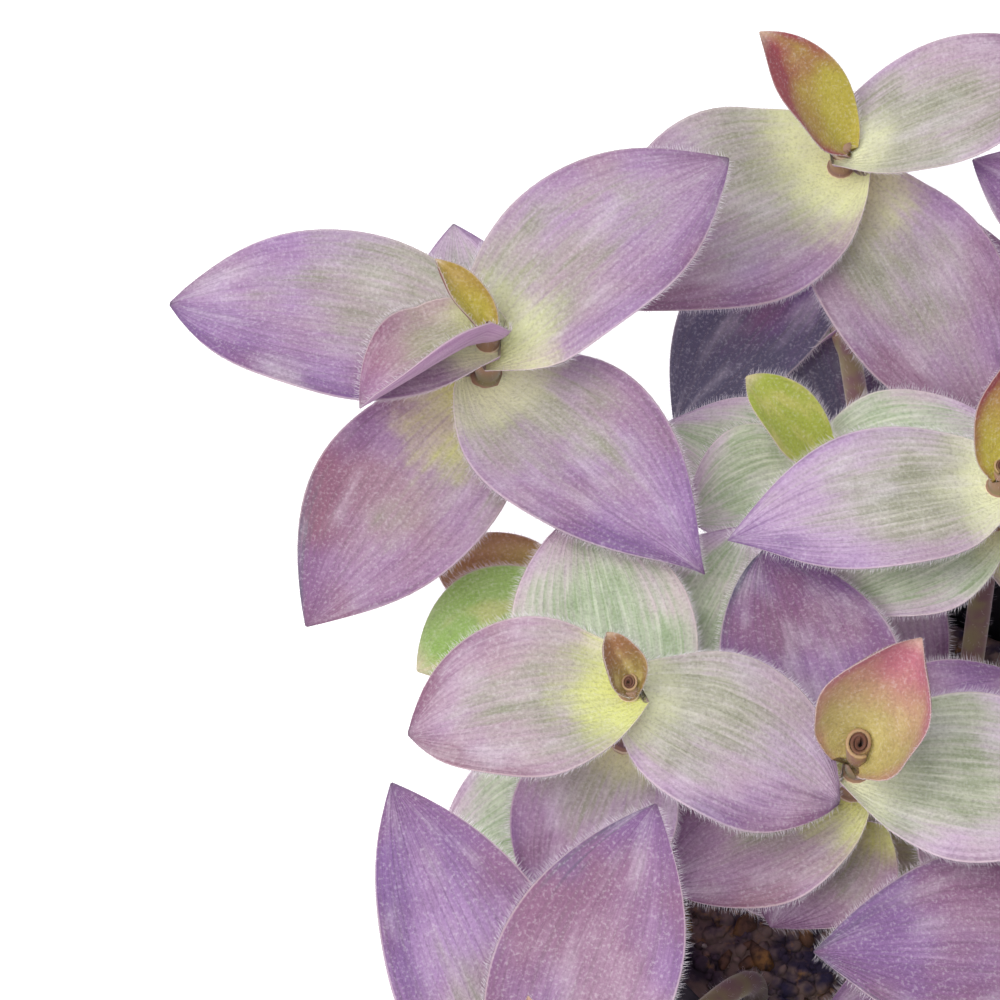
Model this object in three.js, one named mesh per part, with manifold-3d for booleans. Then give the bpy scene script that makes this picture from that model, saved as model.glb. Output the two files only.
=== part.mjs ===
// A potted tradescantia: a bushy plant with broad, softly hairy leaves of purple and grey-green,
// in a plain round growing pot. Millimetres, +Z up. The origin is the middle of the pot's underside,
// on the surface that the pot stands on.

import * as THREE from 'three';
import { mergeVertices } from 'three/addons/utils/BufferGeometryUtils.js';
import Module from 'manifold-3d';

const wasm = await Module();
wasm.setup();

// The pot: a tapered pot of dark plastic with a thick rim and drain holes round its solid middle.
const POT_HEIGHT = 100;
const POT_RIM_RADIUS = 59;
const POT_BASE_RADIUS = 43;
const POT_WALL = 1.6;
const POT_RIM_DEPTH = 11;
const POT_RIM_STEP = 2.4;
const POT_FLOOR = 2.2;
const POT_SIDES = 36;
const DRAIN_HOLES = 6;
const DRAIN_HOLE_RADIUS = 4.5;
const DRAIN_RING_RADIUS = 29;

// The soil: one packed body of crumbly mix, clear of the pot all round.
const SOIL_LEVEL = 86;
const SOIL_GAP = 0.3;
const SOIL_LUMP = 1.3;

// The stems: round, soft, upright in the soil and again near their tips.
const STEM_RADIUS = 2.3;
const STEM_TIP_RADIUS = 1.2;
const STEM_SIDES = 6;
const STEM_DEPTH = 26;
const STEM_GAP = 0.3;
const STEM_STRAIGHT = 4;
const STEM_HEAD = 32;
const STEM_OVER_RIM = 8;
const STEM_RING_STEP = 24;
const STEM_RING_GAP = 3.2;
const SHEATH_SWELL = 0.9;
const SHEATH_TOP = 1;
const SHEATH_WIDEST = 1.5;
const SHEATH_END = 7;

// The blades: broad ovals with a pointed tip, thickest along the middle.
const BLADE_THICKNESS = 1.3;
const BLADE_CLASP = 75;
const BLADE_CLASP_LIMIT = 105;
const BLADE_CLASP_REACH = 0.2;
const BLADE_ROOT_BACK = 2;
const OLDER_TAPER = 1;
const YOUNG_LENGTH = 30;

// Each leafy stem stands at foot [x, y], ends at crown [x, y, z] and has leaves, youngest first:
// [drop below the crown, turn about Z, rise, arch, length, width, cup, roll], in mm and degrees, then
// how sharply the blade tapers to its tip.
// older is how many more leaves follow down the stem by the rule in olderLeaves.
const STEMS = [
  {
    name: 'leafy_stem_01', foot: [-30, 28], crown: [-81, 69, 168], older: 0,
    leaves: [
      [0, 140, 50, 16, 19, 9, 75, 0, 0.9],
      [2, -141, 40, 60, 34, 26, 60, 35, 1],
      [6, 173, 21, 24, 63, 37, 12, 0, 0.9],
      [8, 38, 36, 48, 63, 36, 14, -4, 1],
      [18, -49, 12, 24, 64, 36, 10, 0, 1.2],
      [25, -127, 4, 24, 60, 36, 8, 0, 1],
      [31, 100, 22, 20, 42, 26, 15, 0, 1],
      [36, 14, 0, 24, 36, 28, 12, 0, 1],
    ],
  },
  {
    name: 'leafy_stem_02', foot: [-26, -4], crown: [-56, -13, 180], older: 2,
    leaves: [
      [0, 120, 62, 30, 13, 10, 75, 0, 0.8],
      [3, -171, 22, 52, 43, 32, 16, 0, 0.9],
      [6, -20, 10, 40, 45, 33, 8, 0, 0.85],
      [27, 98, 4, 18, 57, 34, 10, 0, 0.9],
      [20, -112, -2, 30, 40, 30, 12, 0, 1],
      [30, -161, -10, 25, 42, 28, 12, 0, 1],
      [34, 66, 0, 20, 62, 34, 12, 0, 0.9],
    ],
  },
  {
    name: 'leafy_stem_03', foot: [-8, -10], crown: [-15, -20, 168], older: 2,
    leaves: [
      [0, 50, 62, 20, 28, 29, 85, 12, 1],
      [16, 106, 14, 26, 55, 33, 10, 0, 0.9],
      [8, -6, 12, 34, 50, 34, 14, 0, 0.9],
      [20, 34, 10, 30, 50, 32, 14, 0, 1],
      [14, -157, 4, 30, 42, 32, 10, 0, 0.9],
      [24, -126, 2, 28, 28, 32, 10, 0, 1],
    ],
  },
  {
    name: 'leafy_stem_04', foot: [-4, 42], crown: [-11, 128, 142], older: 2,
    leaves: [
      [0, 145, 55, 18, 32, 17, 40, 0, 0.9],
      [3, 16, 28, 30, 56, 28, 14, 0, 1],
      [9, -153, 12, 40, 63, 46, 10, 0, 1.2],
      [14, -60, 4, 30, 66, 38, 10, 0, 1],
      [34, -80, -6, 20, 50, 32, 12, 0, 1],
      [27, -133, -12, 30, 56, 30, 12, 0, 1],
    ],
  },
  {
    name: 'leafy_stem_05', foot: [-12, 24], crown: [-17, 58, 138], older: 1,
    leaves: [
      [0, 146, 44, 12, 25, 14, 35, 0, 0.8],
      [5, -158, 16, 30, 30, 28, 12, 0, 0.9],
      [7, 12, 20, 30, 40, 28, 12, 0, 1],
      [13, 148, 8, 30, 38, 26, 12, 0, 1],
    ],
  },
  {
    name: 'leafy_stem_06', foot: [10, 14], crown: [13, 36, 172], older: 1,
    leaves: [
      [0, 80, 66, 15, 28, 15, 60, 0, 1],
      [7, -168, 16, 32, 54, 30, 12, 0, 1.1],
      [9, 20, 22, 34, 50, 30, 14, 0, 1],
      [18, -156, 2, 25, 38, 28, 12, 0, 1],
    ],
  },
  {
    name: 'leafy_stem_07', foot: [-30, -32], crown: [-72, -83, 160], older: 3,
    leaves: [
      [0, 100, 70, 20, 24, 13, 75, 0, 1],
      [9, 116, 40, 32, 67, 32, 14, 0, 1],
      [5, 66, 46, 34, 60, 33, 14, 0, 1],
      [12, -160, 14, 34, 54, 32, 14, 0, 1],
      [18, -60, 4, 34, 54, 32, 14, 0, 1],
    ],
  },
  {
    name: 'leafy_stem_08', foot: [14, -22], crown: [30, -52, 153], older: 4,
    leaves: [
      [0, 90, 66, 20, 24, 13, 75, 0, 1],
      [8, 178, 22, 34, 56, 40, 12, 0, 1.1],
      [10, -20, 14, 34, 54, 34, 14, 0, 1],
    ],
  },
  {
    name: 'leafy_stem_09', foot: [-36, 8], crown: [-66, 36, 122], older: 1,
    leaves: [
      [0, -151, 18, 30, 35, 25, 20, 0, 0.9],
      [9, 150, 14, 20, 32, 22, 45, 0, 0.9],
    ],
  },
  { name: 'leafy_stem_10', foot: [20, 34], crown: [58, 96, 150], older: 8, spin: 70, leaves: [] },
  { name: 'leafy_stem_11', foot: [40, 10], crown: [112, 22, 146], older: 8, spin: 20, leaves: [] },
  { name: 'leafy_stem_12', foot: [34, -20], crown: [92, -54, 148], older: 8, spin: -30, leaves: [] },
  { name: 'leafy_stem_13', foot: [14, -40], crown: [38, -112, 146], older: 8, spin: -100, leaves: [] },
  { name: 'leafy_stem_14', foot: [-8, -38], crown: [-20, -104, 140], older: 7, spin: -70, leaves: [] },
  { name: 'leafy_stem_15', foot: [26, 2], crown: [62, 16, 176], older: 7, spin: 40, leaves: [] },
];

// A leaf of each age, youngest first: [drop, rise, arch, length, width, cup].
const AGES = [
  [0, 68, 15, 24, 13, 70],
  [2, 42, 40, 38, 24, 30],
  [6, 26, 40, 52, 31, 14],
  [11, 16, 38, 57, 34, 12],
  [18, 8, 34, 58, 35, 10],
  [27, 0, 30, 56, 34, 10],
  [38, -8, 28, 50, 31, 12],
  [50, -14, 26, 44, 28, 12],
];
const LEAF_TURN = 141;
const OLDER_STEP = 10;

// A leaf that would meet what is already there is bent, turned or shortened by the least of these.
const BENDS = [0, 6, -6, 12, -12, 18, -18, 26, -26];
const TURNS = [0, 12, -12, 24, -24];
const LENGTHS = [1, 0.86, 0.72];
const CLEARANCE = 0.4;
const FREE_FROM = 0.28;
const FLOOR_CLEARANCE = 4;

const radians = THREE.MathUtils.degToRad;

// A repeatable draw from 0 to 1 for three whole numbers, spread evenly by irrational steps.
function draw(i, j, k) {
  const value = 0.618034 * i + 0.754877 * j + 0.56984 * k;
  return value - Math.floor(value);
}

// A geometry with shared corners merged and flat triangles dropped, as one closed surface.
function closed(geometry) {
  geometry.deleteAttribute('normal');
  geometry.deleteAttribute('uv');
  const merged = mergeVertices(geometry, 1e-4);
  const corners = merged.index.array;
  const kept = [];
  for (let i = 0; i < corners.length; i += 3) {
    const [a, b, c] = corners.slice(i, i + 3);
    if (a !== b && b !== c && c !== a) kept.push(a, b, c);
  }
  merged.setIndex(kept);
  return merged;
}

function solidFrom(geometry) {
  return new wasm.Manifold(new wasm.Mesh({
    numProp: 3,
    vertProperties: new Float32Array(geometry.attributes.position.array),
    triVerts: new Uint32Array(geometry.index.array),
  }));
}

function geometryFrom(solid) {
  const mesh = solid.getMesh();
  const geometry = new THREE.BufferGeometry();
  geometry.setAttribute('position', new THREE.BufferAttribute(mesh.vertProperties, 3));
  geometry.setIndex(new THREE.BufferAttribute(mesh.triVerts, 1));
  geometry.computeVertexNormals();
  return geometry;
}

function meshGeometry(points, triangles) {
  const geometry = new THREE.BufferGeometry();
  geometry.setAttribute('position', new THREE.Float32BufferAttribute(points.flat(), 3));
  geometry.setIndex(triangles.flat());
  return geometry;
}

// A profile of [radius, height] points turned about Z.
function turned(profile) {
  const points = profile.map(([radius, height]) => new THREE.Vector2(radius, height));
  return closed(new THREE.LatheGeometry(points, POT_SIDES).rotateX(Math.PI / 2));
}

// A smooth path up the middle of a stem, as points with their drop below the crown along it.
function stemPath({ foot, crown }) {
  const [x, y] = foot;
  const top = new THREE.Vector3(...crown);
  const bend = top.clone().setZ(Math.max(top.z - STEM_HEAD, POT_HEIGHT + STEM_OVER_RIM));
  const reach = Math.hypot(crown[0] - x, crown[1] - y);
  const ground = new THREE.Vector3(x, y, SOIL_LEVEL + STEM_STRAIGHT);
  const curve = new THREE.CubicBezierCurve3(
    bend,
    bend.clone().setZ(bend.z - 0.15 * reach),
    ground.clone().setZ(ground.z + 0.5 * reach),
    ground,
  );
  const points = [top, ...curve.getPoints(40), ground.clone().setZ(SOIL_LEVEL - STEM_DEPTH)];
  const drops = [0];
  for (let i = 1; i < points.length; i += 1) {
    drops.push(drops[i - 1] + points[i].distanceTo(points[i - 1]));
  }
  return { points, drops };
}

function pathPoint({ points, drops }, drop) {
  let i = 1;
  while (i < drops.length - 1 && drops[i] < drop) i += 1;
  const share = (drop - drops[i - 1]) / (drops[i] - drops[i - 1]);
  return points[i - 1].clone().lerp(points[i], share);
}

// The leaves that follow a stem's own rows down it: each is a step lower and a turn further round.
function olderLeaves(stem, number) {
  const first = stem.leaves.length;
  const last = stem.leaves[first - 1];
  const start = last ? Math.max(...stem.leaves.map(([drop]) => drop)) : 0;
  const turn = last ? last[1] : stem.spin;
  return Array.from({ length: stem.older }, (_, k) => {
    const age = last ? Math.min(Math.max(first + k, 4), 7) : k;
    const [drop, rise, arch, length, width, cup] = AGES[age];
    const size = 0.92 + 0.16 * draw(number, k, 1);
    return [
      last ? start + (k + 1) * OLDER_STEP : drop,
      turn + LEAF_TURN * (last ? k + 1 : k) + 24 * (draw(number, k, 2) - 0.5),
      rise + 10 * (draw(number, k, 3) - 0.5),
      arch + 10 * (draw(number, k, 4) - 0.5),
      length * size,
      width * size,
      cup,
      0,
      OLDER_TAPER,
    ];
  });
}

// A leaf's size and set from its row, with its root just behind the middle of the stem.
function leafFrom(row, path) {
  const [drop, turn, rise, arch, length, width, cup, roll, taper] = row;
  return { root: pathPoint(path, drop), turn, rise, arch, length, width, cup, roll, taper };
}

// The share of its full width that a blade has at s along it (0 root, 1 tip): a straight line times
// 1 - s to the power of its taper, over what that product is where it is largest.
function bladeWidth(s, taper) {
  const product = (at) => (1 - at) ** taper * (1 + 9 * at);
  return product(s) / product((9 - taper) / (9 + 9 * taper));
}

// The blade's middle surface at s along it (0 root, 1 tip) and t across it (-1 to 1). It climbs at
// rise, and curls down by arch over its length, and its cross-section is an arc, which clasps the
// stem at the root. Gives the point, the direction that its upper face looks and the arc's radius.
function bladePoint(leaf, s, t) {
  const { root, turn, rise, arch, length, width, cup, roll, taper } = leaf;
  const outward = new THREE.Vector3(Math.cos(radians(turn)), Math.sin(radians(turn)), 0);
  const across = new THREE.Vector3(-outward.y, outward.x, 0);
  const start = radians(rise);
  const curl = radians(arch);
  const pitch = start - curl * s;
  const run = length * (Math.sin(start) - Math.sin(pitch)) / curl - BLADE_ROOT_BACK * Math.cos(start);
  const climb = length * (Math.cos(pitch) - Math.cos(start)) / curl - BLADE_ROOT_BACK * Math.sin(start);
  const half = width / 2 * bladeWidth(s, taper);
  const clasp = BLADE_CLASP * Math.max(1 - s / BLADE_CLASP_REACH, 0) ** 2;
  const spread = radians(Math.min(cup + clasp, BLADE_CLASP_LIMIT));
  const twist = radians(roll) * Math.min(s / 0.3, 1);
  const lift = outward.clone().multiplyScalar(-Math.sin(pitch)).setZ(Math.cos(pitch));
  const side = across.clone().multiplyScalar(Math.cos(twist)).addScaledVector(lift, Math.sin(twist));
  const face = lift.multiplyScalar(Math.cos(twist)).addScaledVector(across, -Math.sin(twist));
  const radius = half / spread;
  const point = root.clone().addScaledVector(outward, run)
    .addScaledVector(side, radius * Math.sin(spread * t))
    .addScaledVector(face, radius * (1 - Math.cos(spread * t)));
  point.z += climb;
  const up = face.multiplyScalar(Math.cos(spread * t)).addScaledVector(side, -Math.sin(spread * t));
  return { point, up, radius };
}

// A blade as a closed lens: both faces share the rim and the tip, and are split into triangles alike.
// swell makes a thicker and wider blade, which is only tried against its neighbours.
function bladeMesh(leaf, swell = 0) {
  const small = leaf.length < YOUNG_LENGTH;
  const rows = small ? [0, 0.25, 0.5, 0.78] : [0, 0.15, 0.36, 0.6, 0.84];
  const columns = small ? [-1, 0, 1] : [-1, -0.42, 0.42, 1];
  const shape = { ...leaf, length: leaf.length + swell, width: leaf.width + 2 * swell };
  const points = [];
  const triangles = [];
  const add = (place) => points.push(place.toArray()) - 1;
  const [upper, lower] = [[], []];
  for (const s of rows) {
    const tops = [];
    const bottoms = [];
    for (const t of columns) {
      const { point, up, radius } = bladePoint(shape, s, t);
      const full = BLADE_THICKNESS / 2 * (1 - t ** 4) * Math.min(1, (1 - s) / 0.2);
      const half = Math.min(full, 0.3 * radius) + swell;
      tops.push(add(point.clone().addScaledVector(up, half)));
      bottoms.push(half > 0 ? add(point.clone().addScaledVector(up, -half)) : tops.at(-1));
    }
    upper.push(tops);
    lower.push(bottoms);
  }
  const tip = add(bladePoint(shape, 1, 0).point);
  const patch = (a, b, c) => {
    if (a !== b && b !== c && c !== a) triangles.push([a, b, c]);
  };
  const last = rows.length - 1;
  const wide = columns.length - 1;
  for (let j = 0; j < wide; j += 1) {
    for (let i = 0; i < last; i += 1) {
      const [a, b, c, d] = [upper[i][j], upper[i + 1][j], upper[i + 1][j + 1], upper[i][j + 1]];
      const [e, f, g, h] = [lower[i][j], lower[i + 1][j], lower[i + 1][j + 1], lower[i][j + 1]];
      patch(a, b, c);
      patch(a, c, d);
      patch(e, g, f);
      patch(e, h, g);
    }
    patch(upper[last][j], tip, upper[last][j + 1]);
    patch(lower[last][j], lower[last][j + 1], tip);
    patch(upper[0][j], upper[0][j + 1], lower[0][j + 1]);
    patch(upper[0][j], lower[0][j + 1], lower[0][j]);
  }
  for (const j of swell > 0 ? [0, wide] : []) {
    for (let i = 0; i < last; i += 1) {
      patch(upper[i][j], lower[i][j], lower[i + 1][j]);
      patch(upper[i][j], lower[i + 1][j], upper[i + 1][j]);
    }
    patch(upper[last][j], lower[last][j], tip);
  }
  return { points, triangles };
}

// A stem's radius at a drop below its crown: a cone at the tip, and a sheath below each leaf's root,
// which swells at once and then thins away down the stem.
function stemRadius(drop, roots) {
  const body = STEM_TIP_RADIUS + (STEM_RADIUS - STEM_TIP_RADIUS) * Math.min(drop / 14, 1);
  const swells = roots.map((root) => Math.min(
    (drop - root + SHEATH_TOP) / (SHEATH_TOP + SHEATH_WIDEST),
    (root + SHEATH_END - drop) / (SHEATH_END - SHEATH_WIDEST),
  ));
  return body + SHEATH_SWELL * Math.max(0, ...swells) * Math.min(1, 0.4 + drop / 20);
}

// A stem as rings of corners along its path, closed at both ends.
function stemMesh(path, roots) {
  const total = path.drops.at(-1);
  const ground = total - STEM_DEPTH - STEM_STRAIGHT;
  const wanted = [0];
  for (const root of roots) wanted.push(root - SHEATH_TOP, root + SHEATH_WIDEST, root + SHEATH_END);
  for (let drop = STEM_RING_STEP; drop < ground; drop += STEM_RING_STEP) wanted.push(drop);
  wanted.sort((a, b) => a - b);
  const drops = [];
  for (const drop of wanted) {
    const apart = !drops.length || drop > drops.at(-1) + STEM_RING_GAP;
    if (drop >= 0 && drop < ground - STEM_RING_GAP && apart) drops.push(drop);
  }
  drops.push(ground, total);
  const points = [];
  const triangles = [];
  drops.forEach((drop, ring) => {
    const centre = pathPoint(path, drop);
    const above = pathPoint(path, Math.max(drop - 1, 0));
    const below = pathPoint(path, Math.min(drop + 1, total));
    const along = above.sub(below).normalize();
    const east = new THREE.Vector3(1, 0, 0).addScaledVector(along, -along.x).normalize();
    const north = along.clone().cross(east);
    const radius = stemRadius(drop, drop < ground ? roots : []);
    for (let k = 0; k < STEM_SIDES; k += 1) {
      const angle = 2 * Math.PI * k / STEM_SIDES;
      points.push(centre.clone().addScaledVector(east, radius * Math.cos(angle))
        .addScaledVector(north, radius * Math.sin(angle)).toArray());
      if (ring === 0) continue;
      const [a, b] = [ring * STEM_SIDES + k, ring * STEM_SIDES + (k + 1) % STEM_SIDES];
      triangles.push([a, b, b - STEM_SIDES], [a, b - STEM_SIDES, a - STEM_SIDES]);
    }
  });
  const bottom = (drops.length - 1) * STEM_SIDES;
  for (let k = 1; k < STEM_SIDES - 1; k += 1) {
    triangles.push([0, k, k + 1], [bottom, bottom + k + 1, bottom + k]);
  }
  return { points, triangles };
}

// The lowest and highest corner of a set of points.
function boxOf(points) {
  const low = [Infinity, Infinity, Infinity];
  const high = [-Infinity, -Infinity, -Infinity];
  for (const point of points) {
    for (let i = 0; i < 3; i += 1) {
      low[i] = Math.min(low[i], point[i]);
      high[i] = Math.max(high[i], point[i]);
    }
  }
  return { low, high };
}

function boxesMeet(a, b) {
  return [0, 1, 2].every((i) => a.low[i] <= b.high[i] && b.low[i] <= a.high[i]);
}

// Whether the segment from p to q passes through the triangle a, b, c.
function pierces(p, q, a, b, c) {
  const minus = (u, v) => [u[0] - v[0], u[1] - v[1], u[2] - v[2]];
  const cross = (u, v) => [
    u[1] * v[2] - u[2] * v[1],
    u[2] * v[0] - u[0] * v[2],
    u[0] * v[1] - u[1] * v[0],
  ];
  const dot = (u, v) => u[0] * v[0] + u[1] * v[1] + u[2] * v[2];
  const [way, ab, ac, ap] = [minus(q, p), minus(b, a), minus(c, a), minus(p, a)];
  const normal = cross(way, ac);
  const volume = dot(ab, normal);
  if (Math.abs(volume) < 1e-12) return false;
  const u = dot(ap, normal) / volume;
  if (u < 0 || u > 1) return false;
  const turn = cross(ap, ab);
  const v = dot(way, turn) / volume;
  if (v < 0 || u + v > 1) return false;
  const along = dot(ac, turn) / volume;
  return along >= 0 && along <= 1;
}

// A mesh's triangles and edges with their boxes, ready to be tried against another's.
function sheetOf({ points, triangles }) {
  const faces = triangles.map((corners) => {
    const spots = corners.map((corner) => points[corner]);
    return { spots, box: boxOf(spots) };
  });
  return { faces, box: boxOf(points) };
}

function sheetsMeet(one, other) {
  if (!boxesMeet(one.box, other.box)) return false;
  const near = (sheet, box) => sheet.faces.filter((face) => boxesMeet(face.box, box));
  const mine = near(one, other.box);
  const theirs = near(other, one.box);
  const crosses = ({ spots: [a, b, c] }, { spots: [d, e, f] }) => (
    pierces(a, b, d, e, f) || pierces(b, c, d, e, f) || pierces(c, a, d, e, f)
  );
  return mine.some((face) => theirs.some((match) => (
    boxesMeet(face.box, match.box) && (crosses(face, match) || crosses(match, face))
  )));
}

// Whether a blade keeps off the floor, the soil and the pot, tried at points all over it.
function clearOfPot(leaf) {
  const inner = POT_RIM_RADIUS - POT_RIM_STEP - POT_WALL - 2;
  for (let s = 0.1; s <= 1; s += 0.05) {
    for (const t of [-1, -0.5, 0, 0.5, 1]) {
      const { x, y, z } = bladePoint(leaf, s, t).point;
      const radius = Math.hypot(x, y);
      const outside = radius > POT_RIM_RADIUS + 2;
      const inside = radius < inner && z > SOIL_LEVEL + SOIL_LUMP + 3;
      if (z < FLOOR_CLEARANCE || (z < POT_HEIGHT + 1.5 && !outside && !inside)) return false;
    }
  }
  return true;
}

// The first set of a leaf, nearest to the wanted one, that meets nothing placed before it. Near
// their roots, leaves of one stem may meet, because they are one body there.
function settled(leaf, stem, placed, stemSheets) {
  const cut = (set) => {
    const { points, triangles } = bladeMesh(set, CLEARANCE);
    const start = set.root;
    const free = triangles.filter((corners) => corners.every((corner) => (
      start.distanceTo(new THREE.Vector3(...points[corner])) > FREE_FROM * set.length
    )));
    return { whole: sheetOf({ points, triangles }), outer: sheetOf({ points, triangles: free }) };
  };
  for (const size of LENGTHS) {
    for (const turn of TURNS) {
      for (const bend of BENDS) {
        const set = {
          ...leaf,
          turn: leaf.turn + turn,
          rise: leaf.rise + bend,
          length: leaf.length * size,
          width: leaf.width * (1 + size) / 2,
        };
        if (!clearOfPot(set)) continue;
        const { whole, outer } = cut(set);
        const meetsLeaf = placed.some((other) => (
          other.stem === stem ? sheetsMeet(outer, other.outer) : sheetsMeet(whole, other.whole)
        ));
        const meetsStem = stemSheets.some((sheet, index) => (
          sheetsMeet(index === stem ? outer : whole, sheet)
        ));
        if (!meetsLeaf && !meetsStem) return { stem, leaf: set, whole, outer };
      }
    }
  }
  return null;
}

function potGeometry() {
  const wallTop = POT_RIM_RADIUS - POT_RIM_STEP;
  const under = POT_HEIGHT - POT_RIM_DEPTH;
  const body = solidFrom(turned([
    [0, 0],
    [POT_BASE_RADIUS - 1.5, 0],
    [POT_BASE_RADIUS, 1.5],
    [wallTop, under],
    [POT_RIM_RADIUS - 0.6, under],
    [POT_RIM_RADIUS, under + 0.8],
    [POT_RIM_RADIUS, POT_HEIGHT - 1.2],
    [POT_RIM_RADIUS - 0.9, POT_HEIGHT],
    [wallTop - POT_WALL + 1, POT_HEIGHT],
    [wallTop - POT_WALL, POT_HEIGHT - 1.2],
    [wallTop - POT_WALL, under],
    [POT_BASE_RADIUS - POT_WALL, POT_FLOOR],
    [0, POT_FLOOR],
  ]));
  const drains = Array.from({ length: DRAIN_HOLES }, (_, k) => {
    const angle = 2 * Math.PI * (k + 0.5) / DRAIN_HOLES;
    const hole = new THREE.CylinderGeometry(DRAIN_HOLE_RADIUS, DRAIN_HOLE_RADIUS, 4 * POT_FLOOR, 8);
    hole.rotateX(Math.PI / 2);
    hole.translate(DRAIN_RING_RADIUS * Math.cos(angle), DRAIN_RING_RADIUS * Math.sin(angle), 0);
    return solidFrom(closed(hole));
  });
  return geometryFrom(drains.reduce((solid, drain) => solid.subtract(drain), body));
}

// The height of the soil's crumbly top over its level, as two crossed waves.
function soilLump(x, y) {
  return SOIL_LUMP * Math.sin(0.21 * x + 1.3 * Math.sin(0.13 * y)) * Math.cos(0.24 * y + 0.7);
}

function soilGeometry() {
  const wallTop = POT_RIM_RADIUS - POT_RIM_STEP - POT_WALL;
  const base = POT_BASE_RADIUS - POT_WALL;
  const slope = (wallTop - base) / (POT_HEIGHT - POT_RIM_DEPTH - POT_FLOOR);
  const rim = (height) => base + slope * (height - POT_FLOOR) - SOIL_GAP;
  const bottom = POT_FLOOR + SOIL_GAP;
  const rings = [48, 36, 24, 12, 0];
  const body = turned([
    [0, bottom],
    [rim(bottom), bottom],
    [rim(SOIL_LEVEL - 3), SOIL_LEVEL - 3],
    ...rings.map((radius) => [radius, SOIL_LEVEL]),
  ]);
  const place = body.attributes.position;
  for (let i = 0; i < place.count; i += 1) {
    if (place.getZ(i) > SOIL_LEVEL - 1) {
      place.setZ(i, SOIL_LEVEL + soilLump(place.getX(i), place.getY(i)));
    }
  }
  const holes = STEMS.map(({ foot: [x, y] }) => {
    const radius = STEM_RADIUS + STEM_GAP / Math.cos(Math.PI / STEM_SIDES);
    const hole = new THREE.CylinderGeometry(radius, radius, 2 * STEM_DEPTH, STEM_SIDES);
    hole.rotateX(Math.PI / 2);
    hole.rotateZ(Math.PI / 2);
    hole.translate(x, y, SOIL_LEVEL - STEM_GAP);
    return solidFrom(closed(hole));
  });
  return geometryFrom(holes.reduce((solid, hole) => solid.subtract(hole), solidFrom(body)));
}

const plant = new THREE.Group();

function addNode(name, geometry, color, roughness) {
  const mesh = new THREE.Mesh(
    geometry,
    new THREE.MeshStandardMaterial({ color, roughness, metalness: 0 }),
  );
  mesh.name = name;
  plant.add(mesh);
}

addNode('pot', potGeometry(), 0x23242b, 0.55);
addNode('soil', soilGeometry(), 0x3a2c22, 0.95);

// Leaves are settled in order: first the rows written out above, then the older ones by their rule.
const paths = STEMS.map(stemPath);
const older = STEMS.map(olderLeaves);
const stemMeshes = STEMS.map(({ leaves }, i) => (
  stemMesh(paths[i], [...leaves, ...older[i]].map(([drop]) => drop))
));
const stemSheets = stemMeshes.map(sheetOf);
const placed = [];
for (const rows of [STEMS.map(({ leaves }) => leaves), older]) {
  const longest = Math.max(...rows.map((list) => list.length));
  for (let k = 0; k < longest; k += 1) {
    rows.forEach((list, i) => {
      if (k >= list.length) return;
      const found = settled(leafFrom(list[k], paths[i]), i, placed, stemSheets);
      if (found) placed.push(found);
    });
  }
}

STEMS.forEach(({ name }, i) => {
  const blades = placed.filter(({ stem }) => stem === i).map(({ leaf }) => bladeMesh(leaf));
  const [stem, ...leaves] = [stemMeshes[i], ...blades].map(({ points, triangles }) => (
    solidFrom(meshGeometry(points, triangles))
  ));
  const body = leaves.reduce((solid, blade) => solid.add(blade), stem);
  addNode(name, geometryFrom(body), 0x9a83a8, 0.7);
});

export default plant;
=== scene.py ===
"""A potted tradescantia: soft, hairy leaves of purple and silvery green on fleshy stems, in a dark pot.

Surfaces are worked out in millimetres, as arrays of points over two parameters, and are written into
meshes in metres. Lengths named below are in millimetres unless they say otherwise.
"""
from dataclasses import dataclass, replace

import bpy
import numpy as np
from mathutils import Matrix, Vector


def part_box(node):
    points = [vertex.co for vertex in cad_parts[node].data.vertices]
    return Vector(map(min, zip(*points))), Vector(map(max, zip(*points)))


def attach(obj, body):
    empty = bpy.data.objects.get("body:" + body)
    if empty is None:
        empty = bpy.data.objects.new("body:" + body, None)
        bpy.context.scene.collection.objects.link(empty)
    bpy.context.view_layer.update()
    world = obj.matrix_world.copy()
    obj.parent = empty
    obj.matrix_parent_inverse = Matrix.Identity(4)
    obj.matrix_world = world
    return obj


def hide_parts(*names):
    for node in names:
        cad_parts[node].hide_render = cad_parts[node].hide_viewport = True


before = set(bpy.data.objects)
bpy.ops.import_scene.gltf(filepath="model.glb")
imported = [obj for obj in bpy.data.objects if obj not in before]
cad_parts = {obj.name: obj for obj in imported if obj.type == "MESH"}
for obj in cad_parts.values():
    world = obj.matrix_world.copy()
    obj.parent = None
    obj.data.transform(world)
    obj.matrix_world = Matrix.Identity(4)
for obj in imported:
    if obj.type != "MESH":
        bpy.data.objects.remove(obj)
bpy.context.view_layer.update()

# The pot is one moulding of dark soft plastic: a tapered wall with faint rings from its mould, a thick
# rounded rim and a flat base with drain holes round its middle. Its solid in the frame gives its size.
MM = 0.001
POT_WALL = 1.5
POT_RIM_DEPTH = 11
POT_RIM_STEP = 2.4
POT_LIP = 1.7
POT_FLOOR = 2.2
POT_RING_DEPTH = 0.07
POT_RING_PITCH = 1.9
POT_WALL_ROWS = 60
POT_SEGMENTS = 144
DRAIN_HOLES = 6
DRAIN_RADIUS = 4.5
DRAIN_RING = 29
DRAIN_REACH = 3
DRAIN_SEGMENTS = 28
pot_high = np.array(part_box("pot")[1]) / MM
POT_HEIGHT = pot_high[2]
POT_RIM_RADIUS = pot_high[0]
POT_BASE_RADIUS = 43


def paint(red, green, blue):
    """A colour as a painter reads it, 0 to 255 each, as the linear light that shaders take."""
    share = np.array([red, green, blue]) / 255
    light = np.where(share <= 0.04045, share / 12.92, ((share + 0.055) / 1.055) ** 2.4)
    return (*light.tolist(), 1.0)


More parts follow.
